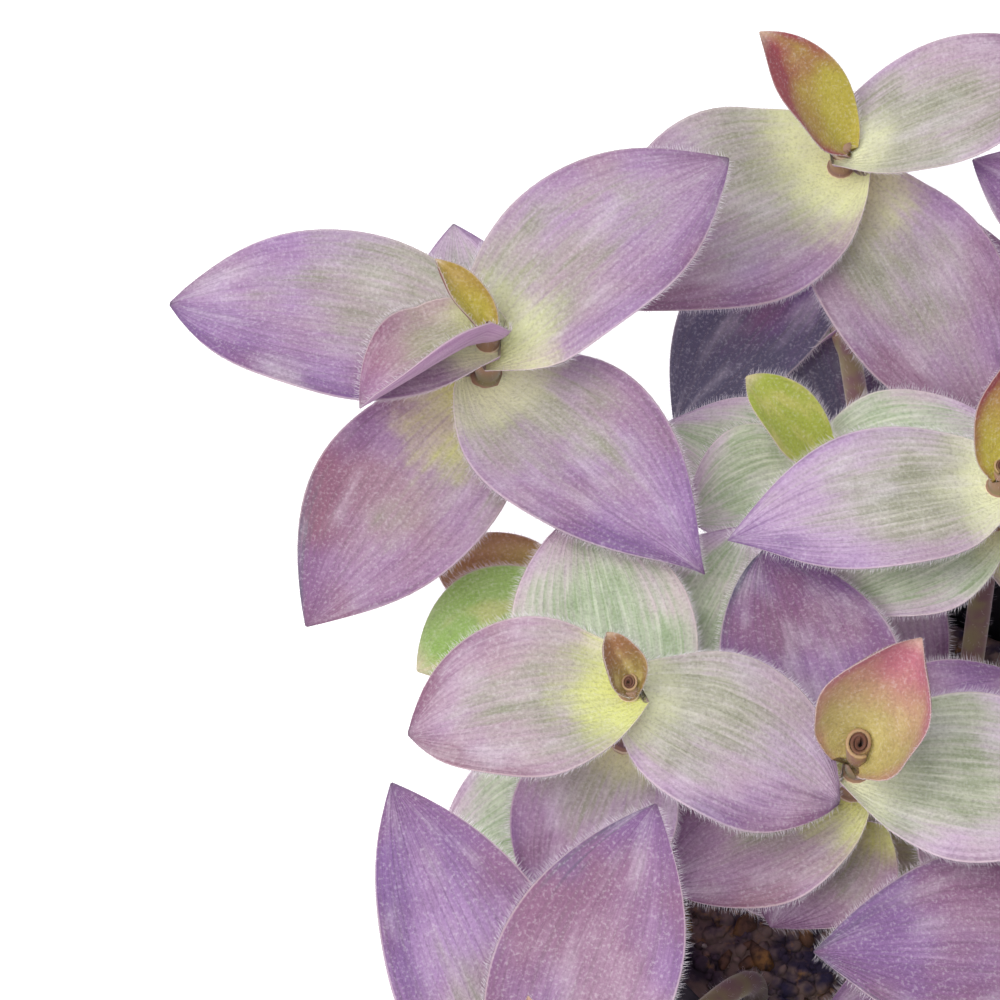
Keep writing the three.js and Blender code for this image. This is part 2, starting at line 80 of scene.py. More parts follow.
def new_piece(name, points, faces, material, **fields):
    """A mesh object from points in millimetres and triangles, with a value at each point for each field."""
    mesh = bpy.data.meshes.new(name)
    mesh.vertices.add(len(points))
    mesh.vertices.foreach_set("co", (np.asarray(points) * MM).astype(np.float32).ravel())
    mesh.loops.add(faces.size)
    mesh.loops.foreach_set("vertex_index", faces.astype(np.int32).ravel())
    mesh.polygons.add(len(faces))
    mesh.polygons.foreach_set("loop_start", np.arange(0, faces.size, 3, dtype=np.int32))
    mesh.update(calc_edges=True)
    mesh.shade_smooth()
    for field, values in fields.items():
        layer = mesh.attributes.new(field, "FLOAT", "POINT")
        layer.data.foreach_set("value", np.asarray(values, np.float32).ravel())
    mesh.materials.append(material)
    piece = bpy.data.objects.new(name, mesh)
    bpy.context.scene.collection.objects.link(piece)
    return piece


def lofted(rings):
    """Closes rings of points, given as an array of rings by points by 3, into one body.

    Neighbouring rings are joined by quads, split alike, and each end by a fan to its ring's middle.
    The rings run up the body and their points turn anticlockwise seen from its top end.
    """
    count, around = rings.shape[:2]
    points = np.concatenate([rings.reshape(-1, 3), rings[[0, -1]].mean(axis=1)])
    ring, step = np.meshgrid(np.arange(count - 1), np.arange(around), indexing="ij")
    here = (ring * around + step).ravel()
    beside = (ring * around + (step + 1) % around).ravel()
    sides = np.concatenate([
        np.stack([here, beside, beside + around], axis=1),
        np.stack([here, beside + around, here + around], axis=1),
    ])
    edge = np.arange(around)
    ahead = (edge + 1) % around
    last = (count - 1) * around
    low = np.stack([np.full(around, count * around), ahead, edge], axis=1)
    high = np.stack([np.full(around, count * around + 1), last + edge, last + ahead], axis=1)
    return points, np.concatenate([sides, low, high])


def turned(profile, segments):
    """Turns a profile of (radius, height) points about Z: each point becomes a ring at its radius."""
    profile = np.asarray(profile, float)
    angle = 2 * np.pi * np.arange(segments) / segments
    rings = np.empty((len(profile), segments, 3))
    rings[..., 0] = profile[:, :1] * np.cos(angle)
    rings[..., 1] = profile[:, :1] * np.sin(angle)
    rings[..., 2] = profile[:, 1:]
    return rings


class Value:
    """A number or colour that changes over a surface: a socket in a material, with arithmetic on it."""

    def __init__(self, shade, socket):
        self.shade = shade
        self.socket = socket

    def math(self, operation, *others):
        return self.shade.node("ShaderNodeMath", {"operation": operation}, [self, *others])

    def __add__(self, other):
        return self.math("ADD", other)

    def __sub__(self, other):
        return self.math("SUBTRACT", other)

    def __rsub__(self, other):
        return self.shade.node("ShaderNodeMath", {"operation": "SUBTRACT"}, [other, self])

    def __mul__(self, other):
        return self.math("MULTIPLY", other)

    def __abs__(self):
        return self.math("ABSOLUTE")

    __radd__ = __add__
    __rmul__ = __mul__

    def limited(self):
        """The value kept from 0 to 1."""
        return self.shade.node("ShaderNodeClamp", {}, [self])

    def rise(self, low, high):
        """0 below low, 1 above high and a smooth step between them."""
        settings = {"interpolation_type": "SMOOTHSTEP"}
        return self.shade.node("ShaderNodeMapRange", settings, [self, low, high, 0.0, 1.0])


class Shade:
    """A material under construction, with the nodes that this plant and its pot use."""

    def __init__(self, name, **constants):
        self.material = bpy.data.materials.new(name)
        self.material.use_nodes = True
        self.tree = self.material.node_tree
        self.surface = self.tree.nodes["Principled BSDF"]
        for socket, value in constants.items():
            self.surface.inputs[socket.replace("_", " ")].default_value = value

    def node(self, kind, settings=None, sockets=(), output=0):
        """A new node: its settings are made first, then its sockets, by place or name, are linked or set."""
        new = self.tree.nodes.new(kind)
        for name, value in (settings or {}).items():
            setattr(new, name, value)
        pairs = sockets.items() if isinstance(sockets, dict) else enumerate(sockets)
        for place, value in pairs:
            if isinstance(value, Value):
                self.tree.links.new(value.socket, new.inputs[place])
            else:
                new.inputs[place].default_value = value
        return Value(self, new.outputs[output])

    def field(self, name):
        """A value that the mesh holds at each of its points."""
        return self.node("ShaderNodeAttribute", {"attribute_name": name}, output="Fac")

    def place(self):
        return self.node("ShaderNodeTexCoord", output="Object")

    def noise(self, vector, scale, detail=2.0, roughness=0.5):
        sockets = {"Vector": vector, "Scale": scale, "Detail": detail, "Roughness": roughness}
        return self.node("ShaderNodeTexNoise", {}, sockets)

    def vector(self, x, y, z):
        return self.node("ShaderNodeCombineXYZ", {}, [x, y, z])

    def mix(self, share, first, second):
        """The first colour where share is 0, the second where it is 1."""
        sockets = {0: share, 6: first, 7: second}
        return self.node("ShaderNodeMix", {"data_type": "RGBA"}, sockets, output=2)

    def finish(self, color, roughness=None, height=None, depth=0.0):
        """Joins what changes over the surface: its colour, roughness and relief of that depth in metres."""
        self.tree.links.new(color.socket, self.surface.inputs["Base Color"])
        if roughness is not None:
            self.tree.links.new(roughness.socket, self.surface.inputs["Roughness"])
        if height is not None:
            relief = self.node("ShaderNodeBump", {}, {"Distance": depth, "Height": height})
            self.tree.links.new(relief.socket, self.surface.inputs["Normal"])
        return self.material


def pot_profile():
    """The pot's outline from the middle underneath, up the wall, over the rounded rim and down inside."""
    wall_top = POT_RIM_RADIUS - POT_RIM_STEP
    under = POT_HEIGHT - POT_RIM_DEPTH
    slope = (wall_top - POT_BASE_RADIUS) / under
    heights = np.linspace(2.5, under - 1, POT_WALL_ROWS)
    rings = POT_RING_DEPTH * np.sin(2 * np.pi * heights / POT_RING_PITCH)
    wall = np.stack([POT_BASE_RADIUS - 0.1 + slope * heights + rings, heights], axis=1)
    heel = [(POT_BASE_RADIUS - 2.2, 0.0), (POT_BASE_RADIUS - 0.9, 0.35), (POT_BASE_RADIUS - 0.2, 1.3)]
    turn = np.radians(np.linspace(0, 90, 7))
    outer = np.stack([
        POT_RIM_RADIUS - POT_LIP + POT_LIP * np.cos(turn),
        POT_HEIGHT - POT_LIP + POT_LIP * np.sin(turn),
    ], axis=1)
    inner_edge = wall_top - POT_WALL
    inner = np.stack([
        inner_edge + 1.0 - np.sin(turn),
        POT_HEIGHT - 1.0 + np.cos(turn),
    ], axis=1)
    bead = [(wall_top - 0.1, under - 0.7), (wall_top + 0.3, under - 0.1), (POT_RIM_RADIUS - 0.8, under + 0.1),
            (POT_RIM_RADIUS - 0.1, under + 0.8), (POT_RIM_RADIUS - 0.25, under + 3.5)]
    floor_radius = POT_BASE_RADIUS - POT_WALL
    inside = [(inner_edge, under), (floor_radius + 0.8, POT_FLOOR + 2), (floor_radius - 1, POT_FLOOR)]
    return [(12.0, 0.0), (22.0, 0.0), (36.0, 0.0), *heel, *wall, *bead, *outer, *inner, *inside,
            (20.0, POT_FLOOR), (8.0, POT_FLOOR)]


def bored(piece, cutters):
    """Cuts the cutters out of the piece with one exact Boolean and removes them."""
    group = bpy.data.collections.new("cutters")
    for cutter in cutters:
        group.objects.link(cutter)
    cut = piece.modifiers.new("drains", "BOOLEAN")
    cut.operand_type = "COLLECTION"
    cut.collection = group
    cut.solver = "EXACT"
    bpy.context.view_layer.update()
    result = bpy.data.meshes.new_from_object(piece.evaluated_get(bpy.context.evaluated_depsgraph_get()))
    piece.modifiers.remove(cut)
    piece.data = result
    for cutter in cutters:
        bpy.data.objects.remove(cutter)
    bpy.data.collections.remove(group)


plastic = Shade("pot_plastic", Specular_IOR_Level=0.4)
grain = plastic.noise(plastic.place(), 900.0, 3.0)
scuff = plastic.noise(plastic.place(), 38.0, 5.0, 0.7).rise(0.5, 0.72)
plastic_color = plastic.mix(scuff * 0.5, paint(34, 35, 41), paint(62, 62, 68))
plastic_material = plastic.finish(plastic_color, scuff * 0.2 + 0.42, grain, 0.00008)
pot = new_piece("pot_body", *lofted(turned(pot_profile(), POT_SEGMENTS)), plastic_material)
drains = []
for k in range(DRAIN_HOLES):
    angle = 2 * np.pi * (k + 0.5) / DRAIN_HOLES
    ends = [(DRAIN_RADIUS, -DRAIN_REACH), (DRAIN_RADIUS, POT_FLOOR + DRAIN_REACH)]
    drain = turned(ends, DRAIN_SEGMENTS)
    drain += np.array([DRAIN_RING * np.cos(angle), DRAIN_RING * np.sin(angle), 0])
    drains.append(new_piece(f"drain_{k}", *lofted(drain), plastic_material))
bored(pot, drains)
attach(pot, "root")
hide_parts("pot")

# The soil is a dark, crumbly peat mix that fills the pot to below its rim. Loose crumbs, chips of bark
# and a few pale grains lie on it between the stems. Their sizes are (smallest, largest).
SOIL_LEVEL = 86
SOIL_FOOT = 2.7
SOIL_LUMP = 1.3
SOIL_RINGS = 66
SOIL_SEGMENTS = 150
SOIL_MARGIN = 4
CRUMBS = 2600
CRUMB_SIZES = (1.0, 4.6)
CRUMB_STRETCH = (1, 0.8, 0.7)
CHIPS = 150
CHIP_SIZES = (3.0, 7.5)
CHIP_STRETCH = (1.3, 0.6, 0.4)
PALE_GRAINS = 45
GRAIN_SIZES = (1.2, 3.0)
GRAIN_STRETCH = (1, 0.9, 0.8)
SMALLNESS = 2.5
LUMP_BUMPS = (0.75, 1.2)
LUMP_LIFT = 0.12
soil_high = np.array(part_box("soil")[1]) / MM
SOIL_RADIUS = soil_high[0] * (SOIL_LEVEL - 3) / SOIL_LEVEL
rng = np.random.default_rng(7)


def soil_top(x, y):
    """The soil's height: its level, two crossed slow waves for lumps and three quick ones for crumbs."""
    lump = SOIL_LUMP * np.sin(0.21 * x + 1.3 * np.sin(0.13 * y)) * np.cos(0.24 * y + 0.7)
    crumb = np.sin(1.9 * x + 2 * np.sin(0.7 * y)) * np.sin(2.1 * y + 2 * np.cos(0.8 * x))
    fine = np.sin(4.1 * x + 3.0 * y) * np.sin(3.7 * y - 2.6 * x)
    return SOIL_LEVEL - 0.5 + 0.85 * lump + 0.3 * crumb + 0.18 * fine


def soil_body():
    """The soil's rings: out along its underside, up the pot's wall, and in over its crumbly top."""
    reach = SOIL_RADIUS
    base = POT_BASE_RADIUS - POT_WALL - 0.6
    sides = [(base * 0.4, SOIL_FOOT), (base, SOIL_FOOT), (reach, SOIL_LEVEL - 2.5)]
    inwards = [(radius, SOIL_LEVEL) for radius in np.linspace(reach, 2, SOIL_RINGS)]
    rings = turned([*sides, *inwards], SOIL_SEGMENTS)
    top = rings[len(sides):]
    top[..., 2] = soil_top(top[..., 0], top[..., 1])
    return rings


def ball():
    """A ball's 18 corners, on the axes and halfway between them, and its 32 faces, four to each eighth."""
    corners, faces = {}, []
    for x, y, z in np.ndindex(2, 2, 2):
        x, y, z = 1 - 2 * x, 1 - 2 * y, 1 - 2 * z
        ways = [(x, 0, 0), (0, y, 0), (0, 0, z), (x, y, 0), (0, y, z), (x, 0, z)]
        a, b, c, ab, bc, ca = (corners.setdefault(way, len(corners)) for way in ways)
        eighth = [(a, ab, ca), (ab, b, bc), (ca, bc, c), (ab, bc, ca)]
        faces += eighth if x * y * z > 0 else [face[::-1] for face in eighth]
    corners = np.array(list(corners), float)
    return corners / np.linalg.norm(corners, axis=1, keepdims=True), np.array(faces)


def lumps(centres, sizes, stretch):
    """Small stones, crumbs or chips: balls with random bumps, stretched and turned at random."""
    corners, faces = ball()
    count = len(centres)
    shapes = corners * rng.uniform(*LUMP_BUMPS, (count, len(corners), 1)) * stretch
    turn = rng.uniform(0, 2 * np.pi, count)
    cos, sin = np.cos(turn)[:, None], np.sin(turn)[:, None]
    x = shapes[..., 0] * cos - shapes[..., 1] * sin
    y = shapes[..., 0] * sin + shapes[..., 1] * cos
    points = centres[:, None] + np.stack([x, y, shapes[..., 2]], axis=-1) * sizes[:, None, None] / 2
    starts = len(corners) * np.arange(count)[:, None, None]
    return points.reshape(-1, 3), (faces + starts).reshape(-1, 3)


def scattered(count, small, large):
    """Places strewn evenly over the soil, and sizes between the two, small ones more often.

    A size grows as a draw from 0 to 1 to the power of SMALLNESS. The middle of each lump lies a little
    above the soil.
    """
    radius = (SOIL_RADIUS - SOIL_MARGIN) * np.sqrt(rng.uniform(0, 1, count))
    angle = rng.uniform(0, 2 * np.pi, count)
    x, y = radius * np.cos(angle), radius * np.sin(angle)
    sizes = small + (large - small) * rng.uniform(0, 1, count) ** SMALLNESS
    return np.stack([x, y, soil_top(x, y) + sizes * LUMP_LIFT], axis=1), sizes


earth = Shade("soil", Specular_IOR_Level=0.2)
clod = earth.noise(earth.place(), 260.0, 5.0, 0.65)
damp = earth.noise(earth.place(), 45.0, 2.0).rise(0.35, 0.7)
lump_tint = earth.noise(earth.place(), 150.0, 3.0, 0.6).rise(0.4, 0.62)
dark_earth = earth.mix(damp, paint(60, 56, 84), paint(88, 76, 86))
earth_color = earth.mix(lump_tint, dark_earth, paint(142, 124, 114))
earth_color = earth.mix(clod.rise(0.56, 0.74), earth_color, paint(170, 134, 90))
earth_material = earth.finish(earth_color, damp * 0.1 + 0.85, clod, 0.0006)
soil = new_piece("soil_body", *lofted(soil_body()), earth_material)
crumb_lumps = lumps(*scattered(CRUMBS, *CRUMB_SIZES), CRUMB_STRETCH)
crumbs = new_piece("soil_crumbs", *crumb_lumps, earth_material)
bark = Shade("bark_chips", Roughness=0.8)
bark_tint = bark.noise(bark.place(), 70.0, 2.0)
bark_color = bark.mix(bark_tint.rise(0.4, 0.6), paint(112, 84, 66), paint(172, 128, 66))
bark_grain = bark.noise(bark.place(), 600.0, 4.0)
bark_color = bark.mix(bark_grain.rise(0.4, 0.7), bark_color, paint(70, 52, 44))
bark_material = bark.finish(bark_color, None, bark_grain, 0.0004)
chip_lumps = lumps(*scattered(CHIPS, *CHIP_SIZES), CHIP_STRETCH)
chips = new_piece("bark_chips", *chip_lumps, bark_material)
chalk = Shade("pale_grains", Roughness=0.9)
chalk_color = chalk.mix(chalk.noise(chalk.place(), 500.0), paint(205, 200, 190), paint(160, 150, 138))
chalk_material = chalk.finish(chalk_color)
grain_lumps = lumps(*scattered(PALE_GRAINS, *GRAIN_SIZES), GRAIN_STRETCH)
grains = new_piece("pale_grains", *grain_lumps, chalk_material)
for piece in (soil, crumbs, chips, grains):
    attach(piece, "root")
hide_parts("soil")

# Fifteen leafy stems grow from the soil, out over the rim. Each is a round fleshy stem with leaves that
# clasp it without stalks, youngest at its crown, and under each leaf's root a thin sheath wraps the stem.

# Nine stems carry leaves placed one by one: (drop below the crown, turn about Z, rise, arch, length,
# width, cup, roll, taper, lean, look), in millimetres and degrees. A lean above 0 makes a leaf's left half
# the more purple one, seen from its root. A look is how purple a leaf is, where 2 is a nearly black
# painted shade for leaves lying under the others, how freshly unrolled and how warm its colours are, from
# 0 to 1. older is how many more leaves follow a rule below them, from the turn spin where a stem has
# none. bud is the size of the leaf still rolled up.
VIOLET = (0.88, 0, 0.1)
SHADED = (2.0, 0, 0.1)
PLUM = (1.2, 0, 0.3)
PURPLE = (1.02, 0, 0.4)
BLUSHED = (0.85, 0, 0.9)
LILAC = (0.7, 0, 0.2)
MAUVE = (0.62, 0, 0.45)
PALE = (0.5, 0, 0.18)
SILVER = (0.36, 0, 0.1)
HAZY = (0.55, 0, 0.9)
VERDANT = (0.18, 0, 0.95)
FROSTY = (0.08, 0, 0.2)
DULL = (0.05, 0, 0.2)
FADED = (0.3, 0, 0.2)
DUSKY = (0.62, 0, 0.95)
GREEN = (0.18, 0, 0.5)
LIME = (0.02, 0.8, 0.0)
OLIVE = (0.06, 1, 0.35)
OCHRE = (0.45, 1, 0.9)
BROWNED = (0.22, 1, 0.9)
DUN = (0.24, 1, 1.0)
ROSY = (0.75, 0.9, 0.9)
RUSTY = (0.26, 0.95, 0.95)
PINK = (0.6, 0.2, 0.4)
STEMS = [
    dict(foot=(-30, 28), crown=(-81, 69, 168), older=0, bud=0.5, leaves=[
        (0, 140, 50, 16, 19, 9, 75, 0, 0.9, -0.9, BROWNED),
        (2, -141, 40, 60, 34, 26, 60, 35, 1, 0, PINK),
        (6, 173, 21, 24, 63, 37, 12, 0, 0.9, 0.4, LILAC),
        (8, 38, 36, 48, 63, 36, 14, -4, 1, -0.1, MAUVE),
        (18, -49, 12, 24, 64, 36, 10, 0, 1.2, -0.1, LILAC),
        (25, -127, 4, 24, 60, 36, 8, 0, 1, -0.6, BLUSHED),
        (31, 100, 22, 20, 42, 26, 15, 0, 1, 0, FADED),
        (36, 14, 0, 24, 36, 28, 12, 0, 1, 0, VIOLET),
    ]),
    dict(foot=(-26, -4), crown=(-56, -13, 180), older=2, bud=0.7, leaves=[
        (0, 120, 62, 30, 13, 10, 75, 0, 0.8, 0.3, DUN),
        (3, -171, 22, 52, 43, 32, 16, 0, 0.9, 0, HAZY),
        (6, -20, 10, 40, 45, 33, 8, 0, 0.85, -0.4, PALE),
        (27, 98, 4, 18, 57, 34, 10, 0, 0.9, 0, VERDANT),
        (20, -112, -2, 30, 40, 30, 12, 0, 1, 0, MAUVE),
        (30, -161, -10, 25, 42, 28, 12, 0, 1, 0, DULL),
        (34, 66, 0, 20, 62, 34, 12, 0, 0.9, 0, GREEN),
    ]),
    dict(foot=(-8, -10), crown=(-15, -20, 168), older=2, bud=1.2, leaves=[
        (0, 50, 62, 20, 28, 29, 85, 12, 1, 0, ROSY),
        (16, 106, 14, 26, 55, 33, 10, 0, 0.9, 0, PLUM),
        (8, -6, 12, 34, 50, 34, 14, 0, 0.9, -0.4, SILVER),
        (20, 34, 10, 30, 50, 32, 14, 0, 1, 0, LILAC),
        (14, -157, 4, 30, 42, 32, 10, 0, 0.9, 0, DUSKY),
        (24, -126, 2, 28, 28, 32, 10, 0, 1, 0, DUSKY),
    ]),
    dict(foot=(-4, 42), crown=(-11, 128, 142), older=2, bud=0.25, leaves=[
        (0, 145, 55, 18, 32, 17, 40, 0, 0.9, 0.9, OCHRE),
        (3, 16, 28, 30, 56, 28, 14, 0, 1, 0.3, PALE),
        (9, -153, 12, 40, 63, 46, 10, 0, 1.2, 0.4, MAUVE),
        (14, -60, 4, 30, 66, 38, 10, 0, 1, 0.1, MAUVE),
        # These two leaves lie under the others and take the nearly black look: painted shade.
        (34, -80, -6, 20, 50, 32, 12, 0, 1, 0, SHADED),
        (27, -133, -12, 30, 56, 30, 12, 0, 1, 0, SHADED),
    ]),
    dict(foot=(-12, 24), crown=(-17, 58, 138), older=1, bud=0.6, leaves=[
        (0, 146, 44, 12, 25, 14, 35, 0, 0.8, 0, OLIVE),
        (5, -158, 16, 30, 30, 28, 12, 0, 0.9, 0, FROSTY),
        (7, 12, 20, 30, 40, 28, 12, 0, 1, 0, GREEN),
        (13, 148, 8, 30, 38, 26, 12, 0, 1, 0, GREEN),
    ]),
    dict(foot=(10, 14), crown=(13, 36, 172), older=1, bud=0.7, leaves=[
        (0, 80, 66, 15, 28, 15, 60, 0, 1, 0, OCHRE),
        (7, -168, 16, 32, 54, 30, 12, 0, 1.1, 0.2, PALE),
        (9, 20, 22, 34, 50, 30, 14, 0, 1, 0, SILVER),
        (18, -156, 2, 25, 38, 28, 12, 0, 1, 0, GREEN),
    ]),
    dict(foot=(-30, -32), crown=(-72, -83, 160), older=3, bud=0.7, leaves=[
        (0, 100, 70, 20, 24, 13, 75, 0, 1, 0, OCHRE),
        (9, 116, 40, 32, 67, 32, 14, 0, 1, -0.2, VIOLET),
        (5, 66, 46, 34, 60, 33, 14, 0, 1, 0.25, PURPLE),
        (12, -160, 14, 34, 54, 32, 14, 0, 1, 0, LILAC),
        (18, -60, 4, 34, 54, 32, 14, 0, 1, 0, LILAC),
    ]),
    dict(foot=(14, -22), crown=(30, -52, 153), older=4, bud=0.7, leaves=[
        (0, 90, 66, 20, 24, 13, 75, 0, 1, 0, OCHRE),
        (8, 178, 22, 34, 56, 40, 12, 0, 1.1, 0, PLUM),
        (10, -20, 14, 34, 54, 34, 14, 0, 1, 0, LILAC),
    ]),
    dict(foot=(-36, 8), crown=(-66, 36, 122), older=1, bud=0.6, leaves=[
        (0, -151, 18, 30, 35, 25, 20, 0, 0.9, 0, LIME),
        (9, 150, 14, 20, 32, 22, 45, 0, 0.9, 0, RUSTY),
    ]),
    dict(foot=(20, 34), crown=(58, 96, 150), older=8, spin=70, bud=0.8, leaves=[]),
    dict(foot=(40, 10), crown=(112, 22, 146), older=8, spin=20, bud=1.0, leaves=[]),
    dict(foot=(34, -20), crown=(92, -54, 148), older=8, spin=-30, bud=0.8, leaves=[]),
    dict(foot=(14, -40), crown=(38, -112, 146), older=8, spin=-100, bud=1.0, leaves=[]),
    dict(foot=(-8, -38), crown=(-20, -104, 140), older=7, spin=-70, bud=0.8, leaves=[]),
    dict(foot=(26, 2), crown=(62, 16, 176), older=7, spin=40, bud=1.0, leaves=[]),
]
STEM_DEPTH = 26
STEM_STRAIGHT = 4
STEM_HEAD = 32
STEM_OVER_RIM = 8
STEM_UPPER_HANDLE = 0.15
STEM_LOWER_HANDLE = 0.5
STEM_POINTS = 41
STEM_RADIUS = 2.3
STEM_TIP_RADIUS = 1.2
STEM_TIP_LENGTH = 14
STEM_SIDES = 14
STEM_RING_STEP = 1.6
SHEATH_LENGTH = 7
SHEATH_RISE = 1
SHEATH_RIM_RINGS = (1.05, 0.95)
SHEATH_SWELL = 1.15
SHEATH_YOUNG_SWELL = 0.4
SHEATH_GROWN_DROP = 20


def stem_path(foot, crown):
    """Points down the middle of a stem, and how far below the crown each lies along it.

    It drops straight from the crown to its bend, follows a cubic Bezier curve to just above the soil,
    with handles straight below the bend and above the foot, and ends straight down in the soil.
    """
    top = np.array(crown, float)
    ground = np.array([*foot, SOIL_LEVEL + STEM_STRAIGHT], float)
    bend = np.array([*top[:2], max(top[2] - STEM_HEAD, POT_HEIGHT + STEM_OVER_RIM)])
    reach = np.hypot(*(top - ground)[:2])
    under_bend = bend - [0, 0, STEM_UPPER_HANDLE * reach]
    over_ground = ground + [0, 0, STEM_LOWER_HANDLE * reach]
    handles = np.array([bend, under_bend, over_ground, ground])
    t = np.linspace(0, 1, STEM_POINTS)[:, None]
    weights = np.hstack([(1 - t) ** 3, 3 * t * (1 - t) ** 2, 3 * t ** 2 * (1 - t), t ** 3])
    points = np.vstack([top, weights @ handles, [*foot, SOIL_LEVEL - STEM_DEPTH]])
    steps = np.linalg.norm(np.diff(points, axis=0), axis=1)
    return points, np.concatenate([[0], np.cumsum(steps)])


def path_point(path, drop):
    """The points of a path at drops below its top, straight between its own points."""
    points, drops = path
    return np.stack([np.interp(drop, drops, points[:, axis]) for axis in range(3)], axis=-1)


def path_frame(path, drop):
    """At drops down a path: the way up along it, and two ways across it, eastward and northward."""
    along = path_point(path, drop - 1) - path_point(path, drop + 1)
    along /= np.linalg.norm(along, axis=-1, keepdims=True)
    east = np.array([1.0, 0, 0]) - along * along[..., :1]
    east /= np.linalg.norm(east, axis=-1, keepdims=True)
    return along, east, np.cross(along, east)


def sheath_share(drop, roots):
    """How far a drop down the stem is inside a sheath: 1 at its open rim, fading to 0 at its foot."""
    below = drop[:, None] - np.asarray(roots)[None] + SHEATH_RISE
    share = np.where(below < 0, 0, 1 - below / (SHEATH_LENGTH + SHEATH_RISE))
    return np.clip(share, 0, 1).max(axis=1)


def stem_radius(drop, roots):
    """A cone at the tip, then a round stem, with a swelling that starts abruptly at each sheath's rim.

    The swelling goes down each sheath as the square root of its share, and is smaller near the crown.
    """
    body = STEM_TIP_RADIUS + (STEM_RADIUS - STEM_TIP_RADIUS) * np.clip(drop / STEM_TIP_LENGTH, 0, 1)
    swell = SHEATH_SWELL * np.clip(SHEATH_YOUNG_SWELL + drop / SHEATH_GROWN_DROP, 0, 1)
    return body + swell * np.sqrt(sheath_share(drop, roots))


def stem_drops(path, roots):
    """Where a stem has its rings, from its foot up: evenly, and close on each side of a sheath's rim."""
    even = np.arange(0, path[1][-1], STEM_RING_STEP)
    rims = np.concatenate([np.asarray(roots) - rise for rise in SHEATH_RIM_RINGS])
    drops = np.unique(np.concatenate([even, rims[rims > 0], path[1][-1:]]))
    return drops[::-1]


def with_ends(values):
    """Values at a loft's ring points, with the middle values that its two end fans need."""
    return np.concatenate([values.ravel(), values[[0, -1]].mean(axis=1)])


def stem_body(path, roots):
    """The stem's rings, from its foot up to its crown, as one closed body that knows its sheaths."""
    drop = stem_drops(path, roots)
    along, east, north = path_frame(path, drop)
    angle = 2 * np.pi * np.arange(STEM_SIDES)[:, None] / STEM_SIDES
    spoke = np.cos(angle) * east[:, None] + np.sin(angle) * north[:, None]
    rings = path_point(path, drop)[:, None] + stem_radius(drop, roots)[:, None, None] * spoke
    sheath = np.repeat(sheath_share(drop, roots)[:, None], STEM_SIDES, axis=1)
    return *lofted(rings), {"sheath": with_ends(sheath)}


fibre = Shade("stem_skin", Specular_IOR_Level=0.35, Sheen_Weight=0.3, Sheen_Roughness=0.4)
sheath_here = fibre.field("sheath")
stem_noise = fibre.noise(fibre.place(), 160.0, 3.0)
stem_color = fibre.mix(stem_noise.rise(0.35, 0.65), paint(132, 120, 86), paint(122, 90, 94))
stem_color = fibre.mix(sheath_here.rise(0.05, 0.5), stem_color, paint(158, 122, 100))
stem_color = fibre.mix(sheath_here.rise(0.85, 0.97), stem_color, paint(222, 202, 176))
stem_material = fibre.finish(stem_color, stem_noise * 0.2 + 0.45, stem_noise, 0.0002)

# The leaves are broad ovals with a pointed tip, soft and thick as felt: yellow-green at the root, then
# silvery, then lilac, and mauve towards tip and margins. They stand where the frame's nodes have them.

# Leaves that follow the rule take (drop, rise, arch, length, width, cup) by age, the youngest first. The
# solids needed a leaf turned, raised or shortened a little here and there, so that it meets no other:
# TURNS, BENDS and LENGTHS hold those steps, in the order in which they were tried.
AGES = [
    (0, 68, 15, 24, 13, 70),
    (2, 42, 40, 38, 24, 30),
    (6, 26, 40, 52, 31, 14),
    (11, 16, 38, 57, 34, 12),
    (18, 8, 34, 58, 35, 10),
    (27, 0, 30, 56, 34, 10),
    (38, -8, 28, 50, 31, 12),
    (50, -14, 26, 44, 28, 12),
]
YOUTHS = [1, 0.35, 0, 0, 0, 0, 0, 0]
OLDER_TAPER = 1
LEAF_TURN = 141
OLDER_STEP = 10
OLDER_SPREAD = 10
OLDER_TURN_SPREAD = 24
BENDS = [0, 6, -6, 12, -12, 18, -18, 26, -26]
TURNS = [0, 12, -12, 24, -24]
LENGTHS = [1, 0.86, 0.72]
YOUNG_LENGTH = 30
YOUNG_MARK = 0.5
GROWN_MARK = 0.6
SAME_PLACE = 0.05
BLADE_LINE = 9
BLADE_CLASP = 75
BLADE_CLASP_LIMIT = 105
BLADE_CLASP_REACH = 0.2
BLADE_ROOT_BACK = 2
BLADE_ROLL_REACH = 0.3
BLADE_FULL_WIDTH = 34
BLADE_END = 0.996
BLADE_CROWDING = 0.94
BLADE_ROWS = 26
BLADE_COLUMNS = 15
BLADE_HALF = 0.36
BLADE_RIM_HALF = 0.09
BLADE_KEEL = 0.5
BLADE_WAVE = 0.6


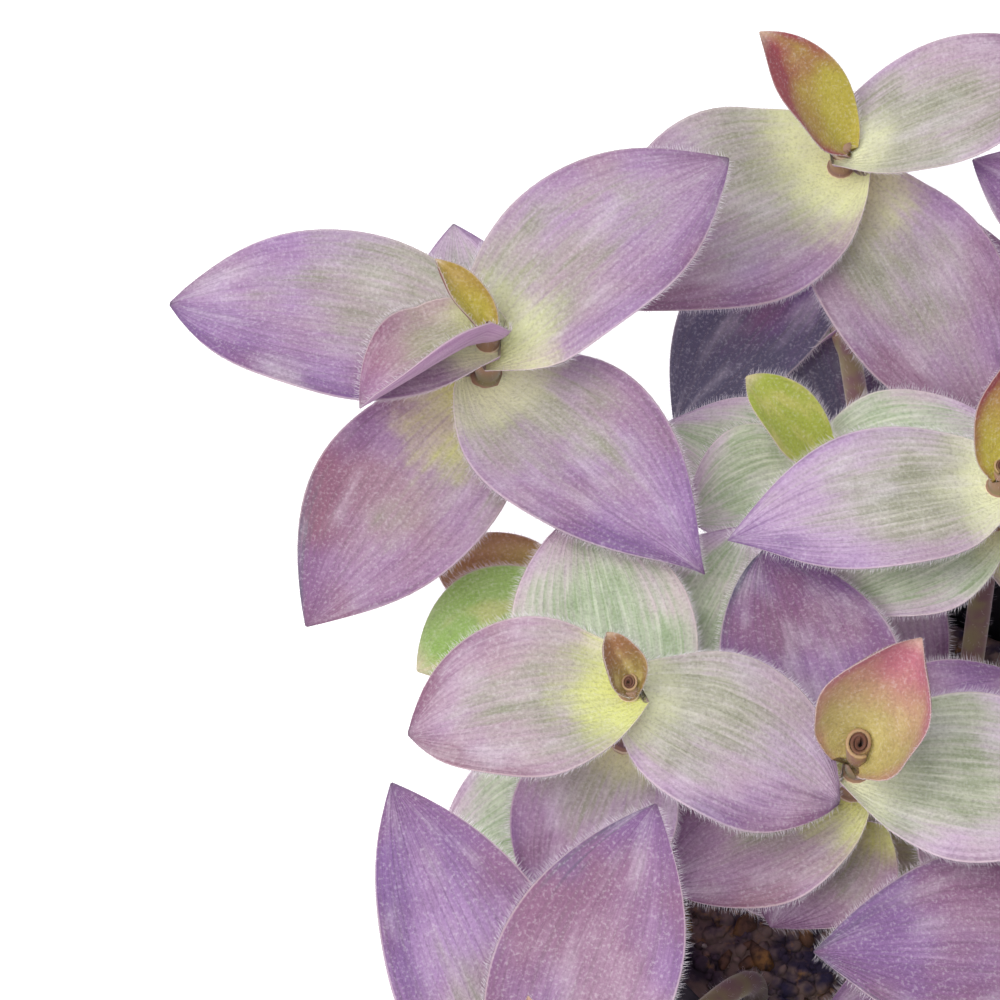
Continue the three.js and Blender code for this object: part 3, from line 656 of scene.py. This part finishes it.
@dataclass
class Leaf:
    """A leaf's size, set and colouring, with a seed from 0 to 1 that makes it unlike the others."""

    root: np.ndarray
    turn: float
    rise: float
    arch: float
    length: float
    width: float
    cup: float
    roll: float
    taper: float
    lean: float
    look: tuple
    seed: float

    def share(self, s):
        """The share of its full width that the blade has at s along it.

        It is a straight line, 1 at the root and ten times that at the tip, times 1 - s to the power
        of the taper, over what that is where it is largest.
        """
        widest = (BLADE_LINE - self.taper) / (BLADE_LINE + BLADE_LINE * self.taper)
        full = (1 - widest) ** self.taper * (1 + BLADE_LINE * widest)
        return np.maximum(1 - s, 0) ** self.taper * (1 + BLADE_LINE * s) / full

    def surface(self, s, t):
        """The blade's middle surface at s along it (0 root, 1 tip) and t across it (-1 to 1).

        It climbs at rise and curls down by arch over its length, on an arc of a circle. Its
        cross-section is an arc too, which clasps the stem at the root. Gives the point, the ways up,
        ahead and across there, and the radius of the cross-section's arc.
        """
        turn, start, curl = np.radians([self.turn, self.rise, self.arch])
        outward = np.array([np.cos(turn), np.sin(turn), 0])
        aside = np.array([-np.sin(turn), np.cos(turn), 0])
        upward = np.array([0, 0, 1.0])
        pitch = (start - curl * s)[..., None]
        twist = (np.radians(self.roll) * np.minimum(s / BLADE_ROLL_REACH, 1))[..., None]
        run = self.length * (np.sin(start) - np.sin(pitch)) / curl - BLADE_ROOT_BACK * np.cos(start)
        climb = self.length * (np.cos(pitch) - np.cos(start)) / curl - BLADE_ROOT_BACK * np.sin(start)
        half = self.width / 2 * self.share(s)
        clasp = BLADE_CLASP * np.maximum(1 - s / BLADE_CLASP_REACH, 0) ** 2
        spread = np.radians(np.minimum(self.cup + clasp, BLADE_CLASP_LIMIT))
        radius = half / spread
        wound = (spread * t)[..., None]
        lift = np.cos(pitch) * upward - np.sin(pitch) * outward
        side = np.cos(twist) * aside + np.sin(twist) * lift
        face = np.cos(twist) * lift - np.sin(twist) * aside
        point = self.root + run * outward + climb * upward
        point = point + radius[..., None] * (np.sin(wound) * side + (1 - np.cos(wound)) * face)
        up = np.cos(wound) * face - np.sin(wound) * side
        ahead = np.cos(pitch) * outward + np.sin(pitch) * upward
        across = np.cos(wound) * side + np.sin(wound) * face
        return point, up, ahead, across, radius

    def relief(self, s, t):
        """How far the real blade stands off its middle surface, in the way that it faces.

        A narrow groove runs down its middle, its margins wave up and down twice in its length, and
        slow waves pucker it between the two.
        """
        size = min(self.width / BLADE_FULL_WIDTH, 1)
        fade = np.clip(s / 0.15, 0, 1) * np.clip((1 - s) / 0.12, 0, 1)
        groove = -BLADE_KEEL * np.exp(-(t / 0.2) ** 2)
        phase = 2 * np.pi * self.seed
        wave = BLADE_WAVE * np.abs(t) ** 3 * np.sin(2 * np.pi * (1.9 * s + 0.15 * np.sign(t)) + phase)
        pucker = 0.3 * np.sin(9 * s + 3 * t + phase) * np.sin(3.4 * t + 2 * phase)
        return size * fade * (groove + wave + pucker)

    def thickness(self, s, t, radius):
        """Half the blade's thickness: fullest along the middle, thin but not sharp at rim and tip."""
        full = BLADE_RIM_HALF + (BLADE_HALF - BLADE_RIM_HALF) * (1 - t ** 4)
        return np.minimum(full * np.clip((1 - s) / 0.15, 0.25, 1), 0.3 * radius + 0.02)

    def body(self):
        """The blade as rings round it, from root to tip: over its upper face and back underneath."""
        s = np.linspace(0, 1, BLADE_ROWS) ** BLADE_CROWDING * BLADE_END
        face = np.sin(np.pi / 2 * np.linspace(1, -1, BLADE_COLUMNS))
        s, t = np.meshgrid(s, np.concatenate([face, face[::-1]]), indexing="ij")
        under = np.zeros_like(s)
        under[:, BLADE_COLUMNS:] = 1
        point, up, ahead, across, radius = self.surface(s, t)
        off = self.relief(s, t) + (1 - 2 * under) * self.thickness(s, t, radius)
        points, faces = lofted(point + up * off[..., None])
        return points, faces, self.colouring(with_ends(s), with_ends(t), with_ends(under))

    def colouring(self, along, across, under):
        """The fields that the leaf's material reads, at points that lie so along and across it."""
        own = dict(zip(("blush", "youth", "tone", "lean", "seed"), (*self.look, self.lean, self.seed)))
        return {"along": along, "across": across, "under": under,
                **{name: np.full(len(along), value) for name, value in own.items()}}


def draw(i, j, k):
    """A repeatable draw from 0 to 1 for three whole numbers, spread evenly by irrational steps."""
    return (0.618034 * i + 0.754877 * j + 0.56984 * k) % 1


def older_rows(stem, number):
    """The leaves that follow a stem's own down it: each a step lower and a turn further round.

    On a stem with leaves of its own they are fully grown or older, and otherwise they start at its crown.
    """
    first = len(stem["leaves"])
    start = max([row[0] for row in stem["leaves"]], default=0)
    turn = stem["leaves"][-1][1] + LEAF_TURN if first else stem["spin"]
    rows = []
    for k in range(stem["older"]):
        age = min(max(first + k, 4), 7) if first else k
        drop, rise, arch, length, width, cup = AGES[age]
        size = 0.92 + 0.16 * draw(number, k, 1)
        rows.append((
            start + (k + 1) * OLDER_STEP if first else drop,
            turn + LEAF_TURN * k + OLDER_TURN_SPREAD * (draw(number, k, 2) - 0.5),
            rise + OLDER_SPREAD * (draw(number, k, 3) - 0.5),
            arch + OLDER_SPREAD * (draw(number, k, 4) - 0.5),
            length * size,
            width * size,
            cup,
            0,
            OLDER_TAPER,
            1.2 * draw(number, k, 9) - 0.6,
            (0.35 + 0.45 * draw(number, k, 5), YOUTHS[age], draw(number, k, 8)),
        ))
    return rows


def node_corners(name):
    """The corners of a node of the frame, in millimetres."""
    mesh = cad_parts[name].data
    corners = np.empty(3 * len(mesh.vertices), np.float32)
    mesh.vertices.foreach_get("co", corners)
    return corners.reshape(-1, 3) / MM


def settled(leaf, corners):
    """The set in which a leaf stands in the frame, or None where it isn't there.

    The node has a corner at the leaf's tip, and one on each rim at the leaf's mark, a share of its
    length from the root. The first set whose three points are all at corners is the one.
    """
    for size in LENGTHS:
        for turn in TURNS:
            for bend in BENDS:
                tried = replace(leaf, turn=leaf.turn + turn, rise=leaf.rise + bend,
                                length=leaf.length * size, width=leaf.width * (1 + size) / 2)
                mark = YOUNG_MARK if tried.length < YOUNG_LENGTH else GROWN_MARK
                marks = tried.surface(np.array([1, mark, mark]), np.array([0.0, -1, 1]))[0]
                gaps = np.linalg.norm(corners[None] - marks[:, None], axis=-1).min(axis=1)
                if gaps.max() < SAME_PLACE:
                    return tried
    return None


# In each crown the innermost leaf is still rolled up like a small scroll, which stands on the stem's tip:
# brown outside, pale along its rim, and dark brown between its turns, where painted shade darkens it
# deeper down. Lengths but the sink are for a size of 1.
BUD_TURNS = 2.6
BUD_INNER = 0.3
BUD_GROWTH = 1.75
BUD_HEIGHT = 4.6
BUD_SLOPE = 0.8
BUD_WALL = 0.52
BUD_SINK = 1.5
BUD_RINGS = 44
BUD_STEPS = 8


def bud_body(stem, seed):
    """A rolled leaf: a sheet wound round itself, with a mouth that slopes down to the front.

    Along its winding its radius grows evenly, and from its foot up it widens a little. Each ring goes up
    the sheet's inner face and down its outer one. Fields say how high up, how far along the winding and
    on which face a point is.
    """
    size = stem["bud"]
    u = np.linspace(0, 1, BUD_RINGS)[:, None]
    v = np.concatenate([np.linspace(0, 1, BUD_STEPS), np.linspace(1, 0, BUD_STEPS)])[None]
    outside = np.repeat([0.0, 1.0], BUD_STEPS)[None]
    angle = 2 * np.pi * (BUD_TURNS * u + seed)
    radius = size * ((BUD_INNER + BUD_GROWTH * u) * (0.8 + 0.2 * v) + (outside - 0.5) * BUD_WALL)
    height = size * v * (BUD_HEIGHT + BUD_SLOPE * np.sin(angle)) - BUD_SINK
    rings = np.stack([radius * np.cos(angle), radius * np.sin(angle), height], axis=-1)
    points, faces = lofted(rings + np.array(stem["crown"], float))
    everywhere = np.ones_like(radius)
    fields = {"up": v, "wound": u, "outside": outside}
    return points, faces, {name: with_ends(field * everywhere) for name, field in fields.items()}


rolled = Shade("rolled_leaf_skin", Specular_IOR_Level=0.3, Sheen_Weight=0.2, Sheen_Roughness=0.4)
bud_up = rolled.field("up")
bud_wound = rolled.field("wound")
bud_noise = rolled.noise(rolled.place(), 700.0, 4.0, 0.6)
# The inner faces and inner turns of the rolled leaf are dark brown and darkest lowest down: painted shade
# where the turns hide the light.
mouth = rolled.mix(bud_up.rise(0.4, 0.95), paint(60, 40, 36), paint(104, 68, 54))
jacket = rolled.mix(bud_noise.rise(0.35, 0.65), paint(162, 138, 84), paint(156, 112, 96))
bud_color = rolled.mix(rolled.field("outside") * bud_wound.rise(0.45, 0.7), mouth, jacket)
rim = bud_up.rise(0.93, 1.0) * bud_wound.rise(0.6, 0.8) * 0.5
bud_color = rolled.mix(rim, bud_color, paint(206, 176, 132))
bud_material = rolled.finish(bud_color, bud_noise * 0.2 + 0.45, bud_noise, 0.0002)


def joined(bodies):
    """Several bodies, each of points, faces and fields, as one."""
    starts = np.cumsum([0, *[len(points) for points, faces, fields in bodies[:-1]]])
    points = np.concatenate([body[0] for body in bodies])
    faces = np.concatenate([body[1] + start for body, start in zip(bodies, starts)])
    fields = {name: np.concatenate([body[2][name] for body in bodies]) for name in bodies[0][2]}
    return points, faces, fields


# A leaf's colours lie over one another: silvery green, then lilac and mauve towards its tip and margins,
# a bluish near-black as painted shade on the darkest leaves, pale patches as a painted highlight, its pale
# root and its ribs, a young leaf's own colours, its down, pale specks and its rim.
felt = Shade("leaf_skin", Specular_IOR_Level=0.25, Sheen_Weight=0.15, Sheen_Roughness=0.4)
along, across, under, blush, youth, tone, lean, seed = (
    felt.field(name) for name in ("along", "across", "under", "blush", "youth", "tone", "lean", "seed")
)
side = abs(across)
streak = felt.noise(felt.vector(across * 9.0, along * 1.3, seed * 31.0), 2.4, 4.0, 0.6)
wash = felt.noise(felt.vector(across * 1.1, along * 1.6, seed * 57.0), 1.5, 2.0, 0.5)
smudge = felt.noise(felt.place(), 130.0, 4.0, 0.6)
tint = felt.noise(felt.place(), 45.0, 2.0, 0.5)
fuzz = felt.noise(felt.place(), 1700.0, 2.0, 0.6)
cloud = (wash - 0.5) * 0.85 + (smudge - 0.5) * 0.5 + (streak - 0.5) * 0.6
edge = along * 0.95 + side * side * 0.4 + across * lean * 0.5 + (blush - 0.5) * 0.9 - 0.2 + cloud
warmth = (tint.rise(0.35, 0.65) * 0.6 + tone * 0.6 - 0.1).limited()
mottle = (smudge * 0.35 + streak * 0.65).rise(0.36, 0.64)
green = felt.mix(mottle, paint(156, 176, 136), paint(212, 222, 194))
grey = felt.mix(mottle, paint(146, 146, 126), paint(192, 190, 172))
pale = felt.mix(warmth, paint(206, 180, 208), paint(202, 180, 188))
full = felt.mix(warmth, paint(170, 137, 180), paint(162, 131, 146))
skin = felt.mix(blush.rise(0.15, 0.5), green, grey)
skin = felt.mix(edge.rise(0.05, 0.7), skin, felt.mix(blush.rise(0.3, 0.7), pale, full))
skin = felt.mix(edge.rise(0.5, 1.15), skin, felt.mix(warmth, paint(128, 94, 146), paint(138, 94, 114)))
# A bluish near-black, painted shade, covers the leaves with the darkest look, which lie under the others, and
# barely touches other tips.
skin = felt.mix(edge.rise(1.3, 1.9), skin, paint(92, 90, 112))
# Pale patches paint a highlight over the felt, where its silky down would catch the light.
painted_sheen = felt.noise(felt.vector(across * 1.4, along * 2.2, seed * 83.0), 1.8, 3.0, 0.5)
skin = felt.mix(painted_sheen.rise(0.48, 0.86) * 0.4, skin, paint(230, 222, 230))
reach = along * (1.6 - tone * 0.65) + (streak - 0.5) * 0.15 + (smudge - 0.5) * 0.35 + side * 0.15
rooted = felt.mix(tone, paint(242, 244, 206), paint(222, 226, 128))
skin = felt.mix(reach.rise(0.08, 0.46), rooted, skin)
ribs = felt.node("ShaderNodeMath", {"operation": "SINE"}, [across * 60.0 + streak * 5.0]) * 0.5 + 0.5
skin = felt.mix(ribs * streak.rise(0.4, 0.6) * along.rise(0.1, 0.3) * 0.22, skin, paint(112, 102, 104))
redness = along.rise(0.3, 0.85) + side.rise(0.6, 1.0) * 0.5 + across * lean * 0.6 + (smudge - 0.5)
redness = redness.limited() * blush.rise(0.05, 0.5)
olive = felt.mix(tone.rise(0.0, 0.7), paint(136, 176, 70), paint(184, 170, 70))
olive = felt.mix(blush.rise(0.5, 0.75), olive, paint(180, 162, 96))
olive = felt.mix(tone.rise(0.9, 1.0) * 0.8, olive, paint(128, 102, 58))
rose = felt.mix(blush.rise(0.4, 0.7), paint(148, 62, 76), paint(184, 110, 122))
young = felt.mix(wash.rise(0.5, 0.7) * 0.4, olive, paint(216, 200, 130))
young = felt.mix(redness, young, rose)
young = felt.mix(along.rise(0.86, 1.0) * 0.6, young, paint(226, 204, 176))
skin = felt.mix(youth, skin, young)
skin = felt.mix(fuzz.rise(0.5, 0.75) * 0.2, skin, paint(240, 236, 240))
skin = felt.mix(fuzz.rise(0.5, 0.3) * 0.2, skin, paint(84, 70, 88))
dust = felt.noise(felt.place(), 420.0, 6.0, 0.6).rise(0.7, 0.76) * smudge.rise(0.45, 0.65)
skin = felt.mix(dust * 0.5, skin, paint(236, 232, 236))
below = felt.mix(streak.rise(0.3, 0.7), paint(196, 164, 196), paint(164, 126, 168))
below = felt.mix(youth, below, felt.mix(tone, paint(196, 130, 150), paint(118, 80, 60)))
skin = felt.mix(under, skin, below)
skin = felt.mix(side.rise(0.972, 0.992) * 0.32, skin, paint(238, 222, 218))
height = fuzz * 0.8 - ribs * (1 - youth) * 0.25 + streak * 0.4
leaf_material = felt.finish(skin, streak * 0.15 + 0.5, height, 0.00022)

# Soft white hairs stand on every leaf and stem: the longest in a fringe along the margins and round
# the sheaths, shorter ones all over both faces, leaning towards the tip. Each is a fine closed spike.
FRINGE_STEP = 0.24
FRINGE_LENGTHS = (0.7, 2.1)
FRINGE_TILTS = (-0.35, 0.55)
FRINGE_LEANS = (0.1, 0.9)
FACE_HAIRS = 0.36
UNDER_HAIRS = 0.1
YOUNG_HAIRS = 0.4
PELT_LENGTHS = (0.4, 1.0)
PELT_REACH = 0.97
PELT_STANDS = (0.15, 0.7)
PELT_SLEW = 0.8
PELT_WHITE = 0.12
STEM_HAIRS = 0.3
STEM_HAIR_LENGTHS = (0.7, 1.5)
RIM_HAIRS = 26
RIM_HAIR_LENGTHS = (1.4, 2.6)
RIM_HAIR_RISE = 0.9
STEM_HAIR_LEANS = (-0.1, 0.7)
HAIR_SINK = 0.05
FRINGE_HALF = 0.04
HAIR_HALF = 0.016
BLADE_AREA = 0.66


def spikes(roots, ways, half, white):
    """Closed spikes of four triangles: three corners round each root, and a tip a way off it.

    Half is half their thickness, and a field says how white they are.
    """
    lengths = np.linalg.norm(ways, axis=1, keepdims=True)
    aside = np.cross(ways / lengths, [0.48, 0.6, 0.64])
    aside /= np.linalg.norm(aside, axis=1, keepdims=True)
    other = np.cross(ways / lengths, aside)
    angle = 2 * np.pi * np.arange(3)[:, None] / 3
    base = roots[:, None] + half * (np.cos(angle) * aside[:, None] + np.sin(angle) * other[:, None])
    points = np.concatenate([base, (roots + ways)[:, None]], axis=1)
    faces = np.array([[0, 2, 1], [0, 1, 3], [1, 2, 3], [2, 0, 3]])
    starts = 4 * np.arange(len(roots))[:, None, None]
    return points.reshape(-1, 3), (faces + starts).reshape(-1, 3), {"white": np.full(4 * len(roots), white)}


def fringe(leaf):
    """Hairs along both margins, which point outwards, ahead to the tip and a little up or down."""
    count = int(leaf.length / FRINGE_STEP)
    s = np.tile(np.linspace(0.04, 0.99, count), 2) + rng.uniform(-0.4, 0.4, 2 * count) / count
    t = np.repeat([-1.0, 1.0], count)
    point, up, ahead, across, radius = leaf.surface(s, t)
    tilt = rng.uniform(*FRINGE_TILTS, (2 * count, 1))
    lean = rng.uniform(*FRINGE_LEANS, (2 * count, 1))
    way = t[:, None] * across + lean * ahead + tilt * up
    way /= np.linalg.norm(way, axis=1, keepdims=True)
    lengths = rng.uniform(*FRINGE_LENGTHS, (2 * count, 1))
    return spikes(point + up * leaf.relief(s, t)[:, None], way * lengths, FRINGE_HALF, 1.0)


def pelt(leaf, density, side):
    """Hairs over a face, evenly strewn over its area, which lean ahead and stand off it a little.

    A young leaf has fewer. Side is 1 for the upper face and -1 for the one underneath.
    """
    area = BLADE_AREA * leaf.length * leaf.width
    count = int(area * density * (YOUNG_HAIRS if leaf.length < YOUNG_LENGTH else 1))
    grid = np.linspace(0.02, 0.99, 200)
    share = np.cumsum(leaf.share(grid))
    s = np.interp(rng.uniform(0, share[-1], count), share, grid)
    t = rng.uniform(-PELT_REACH, PELT_REACH, count)
    point, up, ahead, across, radius = leaf.surface(s, t)
    off = leaf.relief(s, t) + side * leaf.thickness(s, t, radius)
    stand = rng.uniform(*PELT_STANDS, (count, 1))
    slew = rng.normal(0, PELT_SLEW, (count, 1))
    way = side * stand * up + ahead + slew * across
    way /= np.linalg.norm(way, axis=1, keepdims=True)
    way *= rng.uniform(*PELT_LENGTHS, (count, 1))
    return spikes(point + up * off[:, None], way, HAIR_HALF, PELT_WHITE)


def stem_hairs(path, roots):
    """Hairs down the stem's side, and a denser, longer fringe round the rim of each sheath."""
    deep = path[1][-1] - STEM_DEPTH
    down = rng.uniform(0.5, deep, int(deep * 2 * np.pi * STEM_RADIUS * STEM_HAIRS))
    rims = np.repeat([root - RIM_HAIR_RISE for root in roots], RIM_HAIRS)
    drop = np.concatenate([down, rims])
    along, east, north = path_frame(path, drop)
    angle = rng.uniform(0, 2 * np.pi, (len(drop), 1))
    spoke = np.cos(angle) * east + np.sin(angle) * north
    base = path_point(path, drop) + spoke * (stem_radius(drop, roots)[:, None] - HAIR_SINK)
    long = np.concatenate([
        rng.uniform(*STEM_HAIR_LENGTHS, len(down)),
        rng.uniform(*RIM_HAIR_LENGTHS, len(rims)),
    ])
    way = spoke + along * rng.uniform(*STEM_HAIR_LEANS, (len(drop), 1))
    way *= (long / np.linalg.norm(way, axis=1))[:, None]
    return spikes(base, way, HAIR_HALF, 1.0)


# The hairs glow faintly white, a painted light that keeps them pale where they lie in shade.
hair = Shade("hair", Specular_IOR_Level=0.4, Emission_Strength=0.08, Emission_Color=paint(255, 250, 255))
hair_color = hair.mix(hair.noise(hair.place(), 300.0), paint(246, 244, 246), paint(228, 216, 230))
hair_color = hair.mix(hair.field("white"), paint(176, 156, 174), hair_color)
hair_material = hair.finish(hair_color, hair.noise(hair.place(), 90.0) * 0.1 + 0.5)

# Each leafy stem grows as one: its stalk, its leaves where the frame's solid has them, the rolled leaf at
# its crown and the hairs over all of these. Each of the four is a piece, and the leaves replace the node.
for number, stem in enumerate(STEMS):
    label = f"{number + 1:02d}"
    node = f"leafy_stem_{label}"
    path = stem_path(stem["foot"], stem["crown"])
    rows = stem["leaves"] + older_rows(stem, number)
    roots = [row[0] for row in rows]
    corners = node_corners(node)
    wanted = [Leaf(path_point(path, row[0]), *row[1:], draw(number, k, 6)) for k, row in enumerate(rows)]
    leaves = [leaf for leaf in (settled(leaf, corners) for leaf in wanted) if leaf]
    stalk_points, stalk_faces, stalk_fields = stem_body(path, roots)
    stalk = new_piece(f"stem_{label}", stalk_points, stalk_faces, stem_material, **stalk_fields)
    blade_points, blade_faces, blade_fields = joined([leaf.body() for leaf in leaves])
    blades = new_piece(f"leaves_{label}", blade_points, blade_faces, leaf_material, **blade_fields)
    bud_points, bud_faces, bud_fields = bud_body(stem, draw(number, 0, 7))
    bud = new_piece(f"bud_{label}", bud_points, bud_faces, bud_material, **bud_fields)
    tufts = [stem_hairs(path, roots)]
    for leaf in leaves:
        tufts += [fringe(leaf), pelt(leaf, FACE_HAIRS, 1), pelt(leaf, UNDER_HAIRS, -1)]
    hair_points, hair_faces, hair_fields = joined(tufts)
    hairs = new_piece(f"hairs_{label}", hair_points, hair_faces, hair_material, **hair_fields)
    for piece in (stalk, blades, bud, hairs):
        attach(piece, "root")
    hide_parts(node)

# The floor is a plain white sheet that runs far out past the plant, under a white sky and one large
# soft lamp, high up at the front left. The lamp's size and place are in metres.
FLOOR_REACH = 20000
SKY_COLOR = (0.94, 0.95, 1, 1)
SKY_STRENGTH = 0.69
LAMP_WIDTH = 0.9
LAMP_POWER = 8.8
LAMP_COLOR = (1, 0.98, 0.95)
LAMP_PLACE = (-0.42, -0.3, 1.05)
LAMP_TILT = (18, -23, 0)
paper = Shade("floor", Roughness=0.9, Emission_Strength=0.55, Emission_Color=paint(255, 255, 255))
floor_color = paper.mix(paper.noise(paper.place(), 3.0), paint(250, 250, 250), paint(246, 247, 248))
floor_corners = FLOOR_REACH * np.array([[-1, -1, 0], [1, -1, 0], [1, 1, 0], [-1, 1, 0]])
floor_faces = np.array([[0, 1, 2], [0, 2, 3]])
floor = new_piece("floor", floor_corners, floor_faces, paper.finish(floor_color))

scene = bpy.context.scene
scene.view_settings.view_transform = "Standard"
world = bpy.data.worlds.new("sky")
world.use_nodes = True
world.node_tree.nodes["Background"].inputs["Color"].default_value = SKY_COLOR
world.node_tree.nodes["Background"].inputs["Strength"].default_value = SKY_STRENGTH
scene.world = world
lamp_data = bpy.data.lights.new("lamp", "AREA")
lamp_data.shape = "DISK"
lamp_data.size = LAMP_WIDTH
lamp_data.energy = LAMP_POWER
lamp_data.color = LAMP_COLOR
lamp = bpy.data.objects.new("lamp", lamp_data)
lamp.location = LAMP_PLACE
lamp.rotation_euler = np.radians(LAMP_TILT)
scene.collection.objects.link(lamp)

# The camera looks down at the plant from the front at 60 degrees. The point that lies on the pot's axis
# at the crowns' height is where the photograph, 1000 pixels wide, has it: near the picture's right edge.
VIEW_ELEVATION = 60
VIEW_DISTANCE = 900
VIEW_HALF_WIDTH = 91.5
SENSOR_WIDTH = 36
PICTURE_MIDDLE = 500
POT_AXIS_PIXEL = (930, 700)
PIXEL = VIEW_HALF_WIDTH / PICTURE_MIDDLE
AXIS_HEIGHT = 150
tilt = np.radians(VIEW_ELEVATION)
view_up = np.array([0, np.sin(tilt), np.cos(tilt)])
view_back = np.array([0, -np.cos(tilt), np.sin(tilt)])
aim = np.array([(PICTURE_MIDDLE - POT_AXIS_PIXEL[0]) * PIXEL, 0, AXIS_HEIGHT])
aim = aim + view_up * (POT_AXIS_PIXEL[1] - PICTURE_MIDDLE) * PIXEL
camera_data = bpy.data.cameras.new("camera")
camera_data.sensor_width = SENSOR_WIDTH
camera_data.lens = SENSOR_WIDTH / 2 * VIEW_DISTANCE / VIEW_HALF_WIDTH
camera = bpy.data.objects.new("camera", camera_data)
camera.location = (aim + view_back * VIEW_DISTANCE) * MM
camera.rotation_euler = (np.radians(90 - VIEW_ELEVATION), 0, 0)
scene.collection.objects.link(camera)
scene.camera = camera
